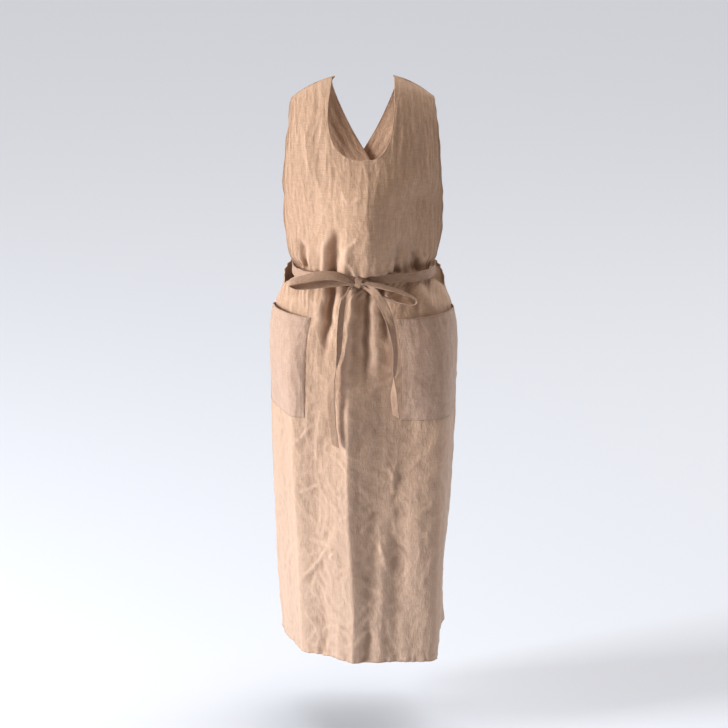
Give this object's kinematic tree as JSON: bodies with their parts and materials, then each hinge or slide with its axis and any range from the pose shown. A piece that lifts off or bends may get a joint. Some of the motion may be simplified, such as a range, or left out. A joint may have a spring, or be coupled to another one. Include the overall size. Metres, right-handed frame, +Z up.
{
  "type": "smock apron",
  "caption": "Sleeveless linen smock apron with a scooped neck, cross-back straps, patch pockets and a waist tie in a front bow.",
  "frame": {"origin": "middle of the shoulder line, on the level of the highest cloth beside the neck, where the apron rests on its wearer", "axes": "+Z up to the shoulders, -Y the front of the wearer, +X the wearer's left; the garment hangs in its worn shape"},
  "size_m": [0.3849, 0.299, 1.1837],
  "materials": {
    "linen": "washed plain-weave linen, matte and slightly crumpled",
    "pocket_linen": "the same washed linen, a little darker where it is doubled",
    "tie_linen": "the same washed linen folded into a narrow tie with stitched edges",
    "stitching": "matte sewing thread in the cloth's colour"
  },
  "bodies": {
    "garment": {"front_panel": "linen", "neck_hem": "linen", "arm_hem_left": "linen", "arm_hem_right": "linen", "back_skirt_left": "linen", "back_skirt_right": "linen", "front_hem": "linen", "back_hem_left": "linen", "back_hem_right": "linen", "side_seam_left": "linen", "side_seam_right": "linen", "pocket_left": "pocket_linen", "pocket_hem_left": "pocket_linen", "pocket_right": "pocket_linen", "pocket_hem_right": "pocket_linen", "pocket_tacks": "stitching", "back_strap_left": "linen", "back_strap_right": "linen", "shoulder_seams": "linen", "strap_tacks": "stitching", "waist_tie_left": "tie_linen", "waist_tie_right": "tie_linen", "tie_anchors": "stitching", "bow_knot": "tie_linen", "tie_end_left": "tie_linen", "tie_end_right": "tie_linen"},
    "tail_left": {"tie_tail_left": "tie_linen"},
    "tail_right": {"tie_tail_right": "tie_linen"},
    "loop_left": {"bow_loop_left": "tie_linen"},
    "loop_right": {"bow_loop_right": "tie_linen"}
  },
  "joints": [
    {"name": "tail_left_swing", "type": "hinge", "parent": "garment", "child": "tail_left", "pos_m": [0.044, -0.137, -0.452], "axis": [-1, 0, 0], "range_deg": [0, 70]},
    {"name": "tail_right_swing", "type": "hinge", "parent": "garment", "child": "tail_right", "pos_m": [-0.044, -0.137, -0.452], "axis": [-1, 0, 0], "range_deg": [0, 70]},
    {"name": "loop_left_swing", "type": "hinge", "parent": "garment", "child": "loop_left", "pos_m": [0.004, -0.119, -0.387], "axis": [0, 0, -1], "range_deg": [0, 45]},
    {"name": "loop_right_swing", "type": "hinge", "parent": "garment", "child": "loop_right", "pos_m": [-0.028, -0.119, -0.387], "axis": [0, 0, 1], "range_deg": [0, 45]}
  ]
}
